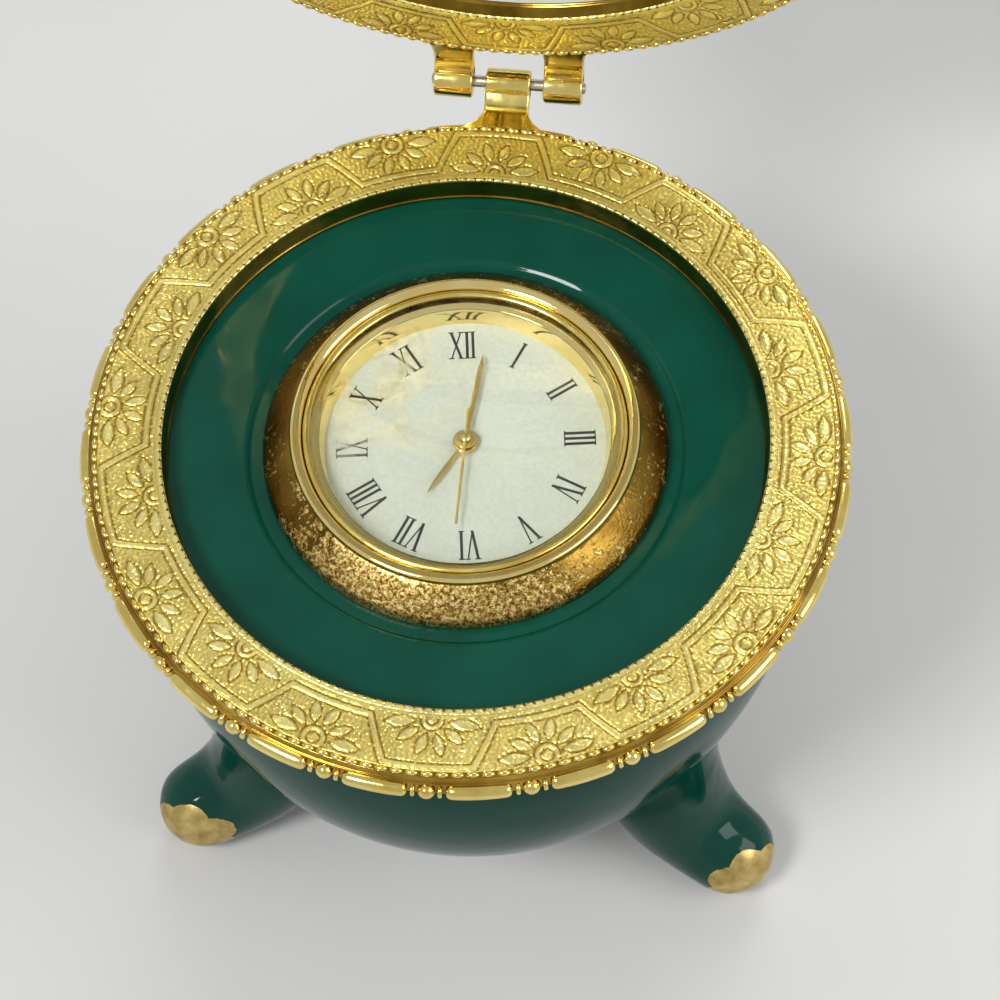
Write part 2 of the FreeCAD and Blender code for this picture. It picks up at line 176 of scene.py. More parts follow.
def worn_bezel():
    """Lacquered gilt bezel: deep bronze where the lacquer is whole, speckled pale and matt on
    the front part of the slope, where it has worn through."""
    made, tree, place = material("worn_lacquered_gilding")
    # Wear is heaviest on the side nearest the viewer, a little left of the middle
    along = add(tree, "ShaderNodeSeparateXYZ", (place,), "X")
    deep = add(tree, "ShaderNodeSeparateXYZ", (place,), "Y")
    front = add(tree, RANGE, (deep, (AXIS_Y - 8) * MM, (AXIS_Y - 15.5) * MM, 0.0, 1.0))
    side = add(tree, RANGE, (along, 11 * MM, -4 * MM, 0.0, 0.6))
    side = add(tree, MATHS, (side, 0.45), operation="ADD")
    zone = add(tree, MATHS, (front, side), operation="MULTIPLY")
    speck = add(tree, NOISE, across(place, 0.55, 5.0, 0.7))
    speck = add(tree, MATHS, (speck, 0.65), operation="MULTIPLY")
    patch = add(tree, NOISE, across(place, 2.4, 2.0))
    patch = add(tree, MATHS, (patch, 0.35), operation="MULTIPLY")
    cover = add(tree, MATHS, (speck, patch), operation="ADD")
    few = add(tree, RANGE, (cover, 0.58, 0.63, 0.0, 0.55))
    zone = add(tree, MATHS, (zone, 0.2), operation="MULTIPLY")
    cover_in_zone = add(tree, MATHS, (cover, zone), operation="ADD")
    worn = add(tree, RANGE, (cover_in_zone, 0.565, 0.61, 0.0, 1.0))
    mask = add(tree, MATHS, (few, worn), operation="MAXIMUM")
    drift = add(tree, NOISE, across(place, 5.0))
    lacquer = add(tree, RAMP, (drift,), stops=[(0.3, "#5f4413"), (0.7, "#9a7a34")])
    pitting = add(tree, NOISE, across(place, 0.33, 5.0, 0.75))
    bare = add(tree, RAMP, (pitting,), stops=[
        (0.38, "#4c3410"), (0.49, "#b08d44"), (0.6, "#ffe9a2")])
    colour = add(tree, MIX, {0: mask, 6: lacquer, 7: bare}, 2, data_type="RGBA")
    rough = add(tree, RANGE, (mask, 0.0, 1.0, 0.24, 0.4))
    normal = add(tree, BUMP, {"Strength": 0.6, "Distance": 0.03 * MM, "Height": mask})
    pits = add(tree, NOISE, across(place, 0.3))
    normal = add(tree, BUMP, {
        "Strength": 0.7, "Distance": 0.05 * MM, "Height": pits, "Normal": normal})
    skin = add(tree, SKIN, {
        "Metallic": 1.0, "Base Color": colour, "Roughness": rough, "Normal": normal})
    add(tree, END, (skin,))
    return made


def glaze(name, deep, light, haze=0.0):
    """Glassy porcelain glaze: colour that pools a little, soft waves and pinholes."""
    made, tree, place = material(name)
    pools = add(tree, NOISE, across(place, 9.0, 2.0))
    colour = add(tree, RAMP, (pools,), stops=[(0.3, deep), (0.7, light)])
    dulled = add(tree, NOISE, across(place, 6.0, 4.0))
    rough = add(tree, RANGE, (dulled, 0.5, 0.72, 0.06, 0.06 + haze))
    waves = add(tree, NOISE, across(place, 5.0, 1.0))
    normal = add(tree, BUMP, {"Strength": 0.25, "Distance": 0.12 * MM, "Height": waves})
    cells = add(tree, CELLS, {"Vector": place, "Scale": 1 / (3.0 * MM)})
    pits = add(tree, RANGE, (cells, 0.0, 0.05, 0.0, 1.0))
    normal = add(tree, BUMP, {
        "Strength": 0.5, "Distance": 0.02 * MM, "Height": pits, "Normal": normal})
    skin = add(tree, SKIN, {
        "IOR": 1.5, "Specular IOR Level": 0.25, "Base Color": colour, "Roughness": rough,
        "Normal": normal})
    add(tree, END, (skin,))
    return made


# What the bowl's mesh carries for its finish: each point's place from the middle of a toe, along,
# beside and above its painted patch, within TOE_FIELD of it, and its distance from the nearest toe
TOE_MEASURES = ("toe_ahead", "toe_side", "toe_up", "toe_away")
TOE_FIELD, TOE_FAR = 9.0, 20.0


def glazed_bowl(name):
    """Green glaze with a brushed gilt patch on each toe, whose edge runs in lobes."""
    made, tree, place = material(name)
    pools = add(tree, NOISE, across(place, 9.0, 2.0))
    green = add(tree, RAMP, (pools,), stops=[(0.3, "#02342a"), (0.7, "#043e32")])
    ahead, side, up, away = [
        add(tree, "ShaderNodeAttribute", out="Fac", attribute_name=row) for row in TOE_MEASURES]
    # Lobes 60 degrees apart round the patch, with a brush's unsteady edge
    lobes = add(tree, MATHS, (side, up), operation="ARCTAN2")
    lobes = add(tree, MATHS, (lobes, 3.0), operation="MULTIPLY")
    lobes = add(tree, MATHS, (lobes,), operation="COSINE")
    lobes = add(tree, MATHS, (lobes,), operation="ABSOLUTE")
    lobes = add(tree, MATHS, (lobes, 0.6), operation="MULTIPLY")
    brush = add(tree, NOISE, across(place, 1.2))
    brush = add(tree, MATHS, (brush, 0.5), operation="MULTIPLY")
    ragged = add(tree, MATHS, (ahead, lobes), operation="ADD")
    ragged = add(tree, MATHS, (ragged, brush), operation="ADD")
    mask = add(tree, RANGE, (ragged, 3.0, 3.04, 0.0, 1.0))
    leaf = add(tree, NOISE, across(place, 1.5, 4.0))
    gold = add(tree, RAMP, (leaf,), stops=[(0.3, "#a2854a"), (0.7, "#d6c07c")])
    colour = add(tree, MIX, {0: mask, 6: green, 7: gold}, 2, data_type="RGBA")
    dulled = add(tree, NOISE, across(place, 6.0, 4.0))
    rough = add(tree, RANGE, (dulled, 0.5, 0.72, 0.06, 0.14))
    matt = add(tree, MATHS, (mask, 0.26), operation="MULTIPLY")
    rough = add(tree, MATHS, (rough, matt), operation="ADD")
    waves = add(tree, NOISE, across(place, 5.0, 1.0))
    normal = add(tree, BUMP, {"Strength": 0.25, "Distance": 0.12 * MM, "Height": waves})
    normal = add(tree, BUMP, {
        "Strength": 0.5, "Distance": 0.03 * MM, "Height": mask, "Normal": normal})
    # Away from the toes the glaze reflects less: painted shade in its reflection, for the dark shade
    # that the real one mirrors
    sheen_painted_shade = add(tree, RANGE, (away, 6.0, 14.0, 0.26, 0.02))
    gilt = add(tree, MATHS, (mask, 0.85), operation="MULTIPLY")
    skin = add(tree, SKIN, {
        "IOR": 1.5, "Specular IOR Level": 0.22, "Base Color": colour, "Roughness": rough,
        "Normal": normal, "Metallic": gilt})
    tree.links.new(sheen_painted_shade, skin.node.inputs["Specular IOR Level"])
    add(tree, END, (skin,))
    return made


def silvered_dial():
    """Matt white painted dial, gone pearly in patches on its left, with fine dust."""
    made, tree, place = material("painted_dial")
    along = add(tree, "ShaderNodeSeparateXYZ", (place,), "X")
    deep = add(tree, "ShaderNodeSeparateXYZ", (place,), "Y")
    left = add(tree, RANGE, (along, 1 * MM, -6 * MM, 0.0, 1.0))
    back = add(tree, RANGE, (deep, (AXIS_Y - 3) * MM, (AXIS_Y + 4) * MM, 0.2, 1.0))
    blot = add(tree, NOISE, {**across(place, 4.2, 3.0, 0.5), "Distortion": 0.6})
    blot = add(tree, RANGE, (blot, 0.42, 0.6, 0.0, 1.0))
    stain = add(tree, MATHS, (left, back), operation="MULTIPLY")
    stain = add(tree, MATHS, (stain, blot), operation="MULTIPLY")
    dust = add(tree, NOISE, across(place, 0.35, 2.0))
    fine = add(tree, RAMP, (dust,), stops=[(0.3, "#acafa6"), (0.7, "#b6b9b0")])
    swirl = add(tree, NOISE, {**across(place, 1.5, 4.0, 0.6), "Distortion": 1.0})
    pearl = add(tree, RAMP, (swirl,), stops=[(0.3, "#a39b80"), (0.7, "#cdc6a8")])
    colour = add(tree, MIX, {0: stain, 6: fine, 7: pearl}, 2, data_type="RGBA")
    rough = add(tree, RANGE, (stain, 0.0, 1.0, 0.42, 0.25))
    paint = add(tree, NOISE, across(place, 0.8))
    normal = add(tree, BUMP, {"Strength": 0.4, "Distance": 0.01 * MM, "Height": paint})
    skin = add(tree, SKIN, {
        "IOR": 1.5, "Coat Weight": 0.1, "Base Color": colour, "Roughness": rough,
        "Normal": normal})
    add(tree, END, (skin,))
    return made


def dial_print():
    """Black screen print, faded where the dial is stained."""
    made, tree, place = material("screen_print_black")
    # Round nine, and round the foot of eleven: middle of the spot and its reach
    faded = 0.0
    for x, y, reach in ((-10.3, -0.4, 2.0), (-6.5, 7.0, 1.1)):
        spot = (x * MM, (AXIS_Y + y) * MM, (INSERT_SEAT + INK_TOP) * MM)
        away = add(tree, "ShaderNodeVectorMath", (place, spot), "Value", operation="DISTANCE")
        soft = add(tree, RANGE, (away, reach * 1.3 * MM, reach * 0.5 * MM, 0.0, 1.0))
        faded = add(tree, MATHS, (faded, soft), operation="MAXIMUM")
    broken = add(tree, NOISE, across(place, 1.1))
    broken = add(tree, RANGE, (broken, 0.36, 0.54, 0.2, 1.0))
    faded = add(tree, MATHS, (faded, broken), operation="MULTIPLY")
    colour = add(tree, RAMP, (faded,), stops=[(0.0, "#14130f"), (1.0, "#a9a794")])
    add(tree, END, (add(tree, SKIN, {"Roughness": 0.55, "Base Color": colour}),))
    return made


def crystal_glass():
    """Clear mineral glass, clean enough to see the dial, with light hairline scratches."""
    made, tree, place = material("mineral_glass")
    scratches = add(tree, NOISE, across(place, 0.9, 5.0))
    rough = add(tree, RANGE, (scratches, 0.55, 0.8, 0.0, 0.06))
    glass = add(tree, SKIN, {
        "Base Color": tone("#fbfdfa"), "IOR": 1.5, "Transmission Weight": 1.0, "Roughness": rough})
    # Light that falls through the glass onto the dial isn't held back
    clear = add(tree, "ShaderNodeBsdfTransparent", {"Color": tone("#f6f9f5")})
    shade = add(tree, "ShaderNodeLightPath", out="Is Shadow Ray")
    add(tree, END, (add(tree, "ShaderNodeMixShader", (shade, glass, clear)),))
    return made


def metal(name, low, high, rough_low, rough_high, grain_mm):
    """A plain metal part: slight colour drift and a worked surface."""
    made, tree, place = material(name)
    drift = add(tree, NOISE, across(place, 2.5))
    colour = add(tree, RAMP, (drift,), stops=[(0.3, low), (0.7, high)])
    worked = add(tree, NOISE, across(place, grain_mm * 3, 4.0))
    rough = add(tree, RANGE, (worked, 0.35, 0.65, rough_low, rough_high))
    fine = add(tree, NOISE, across(place, grain_mm))
    normal = add(tree, BUMP, {"Strength": 0.4, "Distance": 0.02 * MM, "Height": fine})
    skin = add(tree, SKIN, {
        "Metallic": 1.0, "Base Color": colour, "Roughness": rough, "Normal": normal})
    add(tree, END, (skin,))
    return made


def plastic(name, low, high, roughness):
    """Moulded plastic with the fine orange-peel skin of the mould."""
    made, tree, place = material(name)
    drift = add(tree, NOISE, across(place, 3.0))
    colour = add(tree, RAMP, (drift,), stops=[(0.3, low), (0.7, high)])
    peel = add(tree, NOISE, across(place, 0.5))
    normal = add(tree, BUMP, {"Strength": 0.4, "Distance": 0.02 * MM, "Height": peel})
    skin = add(tree, SKIN, {
        "IOR": 1.49, "Roughness": roughness, "Base Color": colour, "Normal": normal})
    add(tree, END, (skin,))
    return made


def stage_paper():
    """Seamless studio paper, faintly mottled."""
    made, tree, place = material("studio_paper")
    mottle = add(tree, NOISE, across(place, 60.0))
    colour = add(tree, RAMP, (mottle,), stops=[(0.3, "#c2c2c1"), (0.7, "#c7c7c6")])
    skin = add(tree, SKIN, {"Roughness": 0.85, "Specular IOR Level": 0.1, "Base Color": colour})
    add(tree, END, (skin,))
    return made


EMBOSSED = embossed_gilding()
# Darker copy of the polished gilding for the rim band: painted shade, with painted dark reflection in
# its groove
SHADED = polished_gilding("gilt_shaded_brass", "#8a681f", "#c29f45", 0.10, 0.24)
POLISHED = polished_gilding("gilt_polished_brass", "#e6c86c", "#f8e690", 0.10, 0.26)
# Paler copy of the polished gilding, with a clearer polish: its extra paleness is painted highlight
MIRROR_PAINTED_HIGHLIGHT = polished_gilding("gilt_mirror_brass_painted_highlight", "#fbdc86", "#ffecab", 0.03, 0.10)
BEZEL = worn_bezel()
GREEN = glaze("green_glazed_porcelain", "#013f31", "#03493a", 0.10)
GREEN_BOWL = glazed_bowl("green_glazed_bowl")
WHITE = glaze("white_glazed_porcelain", "#d9dad2", "#e7e7df", 0.04)
DIAL = silvered_dial()
PRINT = dial_print()
GLASS = crystal_glass()
HANDS = polished_gilding("gilt_hand_brass", "#efcf7c", "#fdebb4", 0.14, 0.3)
PIN = metal("nickelled_pin_steel", "#a8a49a", "#cfccc2", 0.2, 0.4, 0.2)
STEEL = metal("brushed_case_steel", "#9c9c9a", "#c2c1bd", 0.25, 0.45, 0.25)
CROWN = metal("gilt_crown_brass", "#c79c42", "#e3bf66", 0.2, 0.35, 0.2)
MOVEMENT = plastic("moulded_movement_plastic", "#2b2d2f", "#34373a", 0.45)
GRIP = plastic("moulded_grip_plastic", "#c9c6b8", "#d8d5c8", 0.4)


# Meshes

def in_scene(name, data):
    made = bpy.data.objects.new(name, data)
    bpy.context.scene.collection.objects.link(made)
    return made


def piece(name, verts, faces, skin, place=None, sharp=40.0, attributes=None, tidy=True):
    """A mesh object with its place in its vertices, which come in millimetres."""
    mesh = bpy.data.meshes.new(name)
    mesh.from_pydata([tuple(v) for v in verts], [], [tuple(f) for f in faces])
    for key, values in (attributes or {}).items():
        layer = mesh.attributes.new(key, "FLOAT", "POINT")
        layer.data.foreach_set("value", np.asarray(values, dtype=np.float32))
    if tidy:
        shape = bmesh.new()
        shape.from_mesh(mesh)
        bmesh.ops.remove_doubles(shape, verts=shape.verts, dist=1e-4)
        bmesh.ops.recalc_face_normals(shape, faces=shape.faces)
        shape.to_mesh(mesh)
        shape.free()
    mesh.transform(Matrix.Scale(MM, 4) @ (place or Matrix.Identity(4)))
    mesh.materials.append(skin)
    mesh.shade_smooth()
    if sharp:
        mesh.set_sharp_from_angle(angle=math.radians(sharp))
    return in_scene(name, mesh)


def give(made, body, slot, *nodes):
    """Says which body a piece rides on and the CAD nodes that it stands for. The slot is not used."""
    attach(made, body)
    if nodes:
        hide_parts(*nodes)


def softened(points, radius=0.3, steps=4, closed=True):
    """A section whose corners are turned into short arcs. A point may carry its own radius."""
    soft = []
    count = len(points)
    for i, point in enumerate(points):
        here = Vector(point[:2])
        reach = point[2] if len(point) > 2 else radius
        if reach == 0 or (not closed and i in (0, count - 1)):
            soft.append(tuple(here))
            continue
        before = Vector(points[i - 1][:2]) - here
        after = Vector(points[(i + 1) % count][:2]) - here
        back = before.normalized() * min(reach, before.length * 0.45)
        ahead = after.normalized() * min(reach, after.length * 0.45)
        for k in range(steps + 1):
            t = k / steps
            soft.append(tuple(here + back * (1 - t) ** 2 + ahead * t ** 2))
    return soft


def next_ring(verts, count):
    """The numbers of the next points to be added."""
    return list(range(len(verts), len(verts) + count))


def join_rings(rings):
    """Faces between each ring of points and the next. A ring of one point is a pole."""
    faces = []
    for low, high in zip(rings, rings[1:]):
        sides = max(len(low), len(high))
        for i in range(sides if sides > 1 else 0):
            j = (i + 1) % sides
            if len(low) == 1:
                faces.append((low[0], high[j], high[i]))
            elif len(high) == 1:
                faces.append((low[i], low[j], high[0]))
            else:
                faces.append((low[i], low[j], high[j], high[i]))
    return faces


def lathe_mesh(section, sides, closed=True, axis="Z"):
    """Points and faces of a section of (radius, height) turned about an axis."""
    verts, rows = [], []
    for r, z in section:
        if r < 1e-6:
            rows.append(next_ring(verts, 1))
            verts.append((0, 0, z))
            continue
        rows.append(next_ring(verts, sides))
        for i in range(sides):
            turn = 2 * math.pi * i / sides
            verts.append((r * math.cos(turn), r * math.sin(turn), z))
    if axis == "X":
        verts = [(z, y, -x) for x, y, z in verts]
    return verts, join_rings(rows + rows[:1] if closed else rows)


def gather(*meshes):
    """Several (points, faces) as one."""
    verts, faces = [], []
    for points, polygons in meshes:
        start = len(verts)
        verts += list(points)
        faces += [tuple(i + start for i in polygon) for polygon in polygons]
    return verts, faces


def moved(mesh, matrix):
    verts, faces = mesh
    return [tuple(matrix @ Vector(v)) for v in verts], faces


def round_the_axis():
    """A tree that sets copies of a piece round the upright axis at even steps and makes them real."""
    tree = bpy.data.node_groups.new("round_the_axis", "GeometryNodeTree")
    sockets = {"Geometry": "Geometry", "Count": "Int", "Seam": "Float", "Material": "Material"}
    for name, kind in sockets.items():
        tree.interface.new_socket(name, in_out="INPUT", socket_type="NodeSocket" + kind)
    tree.interface.new_socket("Geometry", in_out="OUTPUT", socket_type="NodeSocketGeometry")

    given = tree.nodes.new("NodeGroupInput").outputs
    line = {"Count": given["Count"], "Offset": (0, 0, 0)}
    places = add(tree, "GeometryNodeMeshLine", line)
    step = add(tree, MATHS, (2 * math.pi, given["Count"]), operation="DIVIDE")
    order = add(tree, "GeometryNodeInputIndex")
    angle = add(tree, MATHS, (order, step), operation="MULTIPLY")
    turn = add(tree, "FunctionNodeAxisAngleToRotation", {"Axis": (0, 0, 1), "Angle": angle})
    shape = add(tree, "GeometryNodeInstanceOnPoints", {
        "Points": places, "Instance": given["Geometry"], "Rotation": turn})
    shape = add(tree, "GeometryNodeRealizeInstances", (shape,))
    shape = add(tree, "GeometryNodeMergeByDistance", {"Geometry": shape, "Distance": given["Seam"]})
    shape = add(tree, "GeometryNodeSetMaterial", {"Geometry": shape, "Material": given["Material"]})
    add(tree, "NodeGroupOutput", (shape,))
    return tree


AROUND = round_the_axis()


def ringed(name, mesh, count, skin, places, attributes=None, seam=0.001, sharp=40.0):
    """One piece per place of a shape repeated round the axis, as plain meshes."""
    source = piece(name + "_one", *mesh, skin, sharp=None, attributes=attributes, tidy=not attributes)
    modifier = source.modifiers.new("round_the_axis", "NODES")
    modifier.node_group = AROUND
    given = {"Count": count, "Seam": seam * MM, "Material": skin}
    for socket in AROUND.interface.items_tree:
        if socket.in_out == "INPUT" and socket.name in given:
            modifier[socket.identifier] = given[socket.name]
    ready = source.evaluated_get(bpy.context.evaluated_depsgraph_get())
    made = []
    for label, place in places:
        plain = bpy.data.meshes.new_from_object(ready)
        plain.transform(Matrix.Scale(MM, 4) @ place @ Matrix.Scale(1 / MM, 4))
        plain.shade_smooth()
        if sharp:
            plain.set_sharp_from_angle(angle=math.radians(sharp))
        made.append(in_scene(label, plain))
    bpy.data.objects.remove(source)
    return made


# Embossed face of the rims: a relief over one pair of panels, 36 degrees wide

FACE_INNER, FACE_OUTER = 26.66, 32.28
FACE_COLUMNS, FACE_ROWS = 180, 50
FACE_FLOOR = -0.75
RELIEF_DEPTH = 0.26
# The zigzag between panels: degrees round the rim and reach, and the reach at which arcs are measured
CORNERS = [(-29.2, 31.92), (-25.3, 28.02), (-10.7, 28.02), (-6.8, 31.92),
           (6.8, 31.92), (10.7, 28.02), (25.3, 28.02), (29.2, 31.92)]
ARC_REACH = 30.0
# Leaves of a flower: each one's turn, and its reach from the heart, length and width
UPPER_LEAF, LOWER_LEAF = (2.35, 2.15, 0.98), (2.72, 2.75, 1.15)
LEAVES = ((-84, LOWER_LEAF), (-54, UPPER_LEAF), (-18, UPPER_LEAF),
          (18, UPPER_LEAF), (54, UPPER_LEAF), (84, LOWER_LEAF))
INNER_FLOWER, OUTER_FLOWER = 27.62, 31.55


def hill(distance, half_width):
    """1 on a line, easing to 0 at half_width to either side."""
    t = np.clip(np.abs(distance) / half_width, 0, 1)
    return 0.5 + 0.5 * np.cos(np.pi * t)


def from_line(u, v, a, b):
    """Distance of each point (u, v) from the line between a and b."""
    ab = np.array(b) - np.array(a)
    t = np.clip(((u - a[0]) * ab[0] + (v - a[1]) * ab[1]) / (ab @ ab), 0, 1)
    return np.hypot(u - a[0] - t * ab[0], v - a[1] - t * ab[1])


def petal(x, y, centre, angle, length, width):
    """Swell of a pointed oval leaf, and the line cut round it."""
    along = (x - centre[0]) * math.cos(angle) + (y - centre[1]) * math.sin(angle)
    across = -(x - centre[0]) * math.sin(angle) + (y - centre[1]) * math.cos(angle)
    t = along / (length / 2)
    edge = np.abs(across) - width / 2 * (1 - t ** 2)
    reach = np.where(np.abs(t) < 1, np.abs(edge), np.hypot(np.abs(along) - length / 2, across))
    swell = np.where(np.abs(t) < 1, np.clip(-edge / (width / 2), 0, 1), 0) ** 0.5
    return swell, hill(reach, 0.16)


def flower(x, y, centre, outward):
    """Swell and cut lines of a ringed heart with six leaves fanned to one side."""
    away = np.hypot(x - centre[0], y - centre[1])
    size = 1.0 if outward > 0 else 1.12
    heart = away < size
    swell = np.where(heart, 0.75 * np.maximum(hill(away - size * 0.75, 0.26), hill(away, 0.4)), 0)
    cut = np.maximum(hill(away - size, 0.16), hill(away - size * 0.48, 0.14))
    middle = math.atan2(centre[1], centre[0]) + (0 if outward > 0 else math.pi)
    for turn, (reach, length, width) in LEAVES:
        angle = middle + math.radians(turn)
        at = (centre[0] + reach * math.cos(angle), centre[1] + reach * math.sin(angle))
        rise, line = petal(x, y, at, angle, length, width)
        swell = np.where(heart, swell, np.maximum(swell, rise))
        cut = np.where(heart, cut, np.maximum(cut * (rise == 0), line))
    return swell, cut


def band_relief():
    """Relief from 0, the ground, to 1 over the double panel, with the grid it stands on."""
    turns = np.linspace(-18, 18, FACE_COLUMNS + 1)
    reaches = np.linspace(FACE_INNER, FACE_OUTER, FACE_ROWS)
    turn, reach = np.meshgrid(turns, reaches)
    angle = np.radians(turn)
    # Distance from the zigzag, measured along the arc
    corners = [(math.radians(degrees) * ARC_REACH, out) for degrees, out in CORNERS]
    line = np.minimum.reduce([
        from_line(angle * ARC_REACH, reach, a, b) for a, b in zip(corners, corners[1:])
    ])
    # Sanded ground: grains 0.4 mm apart that run on from one pair of panels to the next
    loose = np.random.default_rng(7).normal(size=(FACE_ROWS, FACE_COLUMNS))
    coarse = np.hypot(np.fft.fftfreq(FACE_ROWS)[:, None], np.fft.fftfreq(FACE_COLUMNS)[None, :])
    kept = np.exp(-((coarse - 0.24) / 0.09) ** 2)
    stipple = np.fft.ifft2(np.fft.fft2(loose) * kept).real
    stipple = np.hstack([stipple, stipple[:, :1]]) / stipple.std()
    ground = 0.46 + 0.2 * np.clip(stipple, 0.0, 1.8)
    # Flowers in the plane: x is radial at the middle of the even panel
    x, y = reach * np.cos(angle), reach * np.sin(angle)
    swell, cut = flower(x, y, (INNER_FLOWER, 0.0), 1)
    for side in (math.radians(-18), math.radians(18)):
        spot = (OUTER_FLOWER * math.cos(side), OUTER_FLOWER * math.sin(side))
        more_swell, more_cut = flower(x, y, spot, -1)
        swell, cut = np.maximum(swell, more_swell), np.maximum(cut, more_cut)
    clear = np.clip((line - 0.4) / 0.12, 0, 1) * np.clip((reach - 27.42) / 0.1, 0, 1)
    raised = np.where(swell > 0, ground * 0.3 + 0.34 + 0.3 * swell, ground)
    relief = raised * clear + ground * (1 - clear) - 0.42 * cut * clear
    # The panels' outline: a raised strip between two cut lines
    strip = np.clip((0.3 - line) / 0.1, 0, 1)
    relief = relief * (1 - strip) + 0.66 * strip - 0.42 * hill(line - 0.32, 0.14)
    # Plain inner border: a polished step with a milled line and nicks
    edge = np.clip((27.4 - reach) / 0.08, 0, 1)
    step = 0.78 - 0.5 * hill(reach - 27.2, 0.1)
    nick = hill(((turn + 0.9) % 1.8) - 0.9, 0.32) * np.clip((27.02 - reach) / 0.1, 0, 1)
    relief = relief * (1 - edge) + (step - 0.45 * nick) * edge
    # Outer border just inside the milled grains
    outer = np.clip((reach - 32.16) / 0.06, 0, 1)
    relief = relief * (1 - outer) + 0.5 * outer
    return turns, reaches, np.clip(relief, 0, 1.1)


def embossed_face():
    """One double panel of the face, closed by walls and a floor below."""
    turns, reaches, relief = band_relief()
    verts, values = [], []
    rows = [(r, -RELIEF_DEPTH * (1 - h), h) for r, h in zip(reaches, relief)]
    floor, flat = np.full_like(turns, FACE_FLOOR), np.zeros_like(turns)
    loop = [(reaches[0], floor, flat)] + rows + [(reaches[-1], floor, flat)]
    for r, z, h in loop:
        for turn, height, value in zip(turns, z, h):
            a = math.radians(turn - 90)
            verts.append((r * math.cos(a), r * math.sin(a), height))
            values.append(value)
    width = len(turns)
    faces = []
    for i in range(len(loop)):
        j = (i + 1) % len(loop)
        for k in range(width - 1):
            faces.append((i * width + k, j * width + k, j * width + k + 1, i * width + k + 1))
    return (verts, faces), {"relief": values}


RIM_PLACES = (("bowl", ON_BOWL @ ORNAMENT), ("lid", ON_LID))


def rim_pieces(label, mesh, count, skin, **extra):
    """A repeated part of the rim for the bowl and for the lid, each riding on its own body."""
    places = [("%s_rim_%s" % (body, label), place) for body, place in RIM_PLACES]
    made = ringed("rim_" + label, mesh, count, skin, places, **extra)
    for item, (body, _) in zip(made, RIM_PLACES):
        give(item, body, "gilt_metal")


def rim_section(wall):
    """The rim below its face, from the inner lip outward; its inner wall ends at height wall."""
    groove_and_side = [
        (32.1, -0.6, 0.1), (32.2, -0.2, 0.08), (32.78, -0.24, 0.1), (32.92, -0.82, 0.15),
        (33.12, -0.82, 0.12), (33.2, -1.15, 0.1), (32.95, -1.5, 0.2), (32.95, -2.1, 0.2),
        (33.2, -2.5, 0.1), (33.05, -2.92, 0.15), (32.05, -2.92, 0.1), (32.05, -0.95, 0.1),
    ]
    inner_wall = [
        (27.35, -0.95, 0.1), (27.25, wall, 0.1), (26.45, wall, 0.1), (26.3, wall + 0.2, 0.15),
        (26.5, wall + 0.42, 0.1),
    ]
    inner_lip = [(26.70, -0.02, 0.12), (26.92, -0.12, 0.05), (27.0, -0.6, 0.1)]
    return softened(inner_lip + groove_and_side + inner_wall)


def build_rims():
    mesh, values = embossed_face()
    rim_pieces("face", mesh, 10, EMBOSSED, attributes=values, seam=0.02, sharp=None)
    for (body, place), wall in zip(RIM_PLACES, (-2.62, -1.75)):
        band = lathe_mesh(rim_section(wall), 216)
        # The band is in the darker gilding, which is painted shade
        made = piece("%s_rim_band" % body, *band, SHADED, place, sharp=50)
        give(made, body, "gilt_metal", "%s_rim" % body)
    rim_pieces("beads", gather(*bead_and_reel()), 24, POLISHED, sharp=60)
    rim_pieces("grains", grain(), 160, POLISHED, sharp=None)


def along_the_rim(middle, half, radius, stations, sides, reach=33.3, drop=-1.8):
    """A spindle that follows the rim, its middle and half length in degrees: radius is a function
    of -1 to 1 along it."""
    verts, rows = [], []
    for i in range(stations + 1):
        t = -math.cos(math.pi * i / stations)
        turn = math.radians(middle + half * t - 90)
        r = radius(t)
        if i in (0, stations):
            rows.append(next_ring(verts, 1))
            verts.append((reach * math.cos(turn), reach * math.sin(turn), drop))
            continue
        rows.append(next_ring(verts, sides))
        for k in range(sides):
            around = 2 * math.pi * k / sides
            out = reach + r * math.cos(around)
            verts.append((out * math.cos(turn), out * math.sin(turn), drop + r * math.sin(around)))
    return verts, join_rings(rows)


def bead_and_reel():
    """One bead, a thin disc to each side of it, and the long reel that follows."""
    ball = lambda t: 0.74 * math.sqrt(max(1 - t * t, 0))
    coin = lambda t: 0.6 * max(1 - t ** 6, 0) ** 0.5
    reel = lambda t: 0.74 * max(1 - abs(t) ** 18, 0) ** 0.5 * (1 - 0.07 * t * t)
    return [
        along_the_rim(0.0, 1.28, ball, 10, 14),
        along_the_rim(-1.95, 0.36, coin, 8, 14),
        along_the_rim(1.95, 0.36, coin, 8, 14),
        along_the_rim(7.5, 4.75, reel, 20, 14),
    ]


def grain():
    """One round of the milled edge."""
    ball = lambda t: 0.27 * math.sqrt(max(1 - t * t, 0))
    return along_the_rim(0.0, 1.0, ball, 5, 7, 32.5, -0.24)


# Hinge: knuckles side by side along X, the bowl's in the middle, and the pin through all three

CENTRE_HALF, SIDE_START, SIDE_END = 2.1, 3.3, 7.0
CENTRE_RADIUS, SIDE_RADIUS = 1.35, 1.6
CENTRE_BORE, SIDE_BORE, PIN_RADIUS, PIN_PROUD = 0.56, 0.6, 0.55, 0.25
ARM_START, ARM_TOP, ARM_LOW = 32.7, -0.42, -1.75
HINGE_LINE = Matrix.Translation((0, HINGE_REACH, BAND_GAP / 2))


def barrel(left, right, radius, bore):
    """A hinge knuckle about the hinge line with softened ends."""
    section = [(bore, left, 0.05), (radius, left, 0.28), (radius, right, 0.28), (bore, right, 0.05)]
    return moved(lathe_mesh(softened(section), 40, axis="X"), HINGE_LINE)


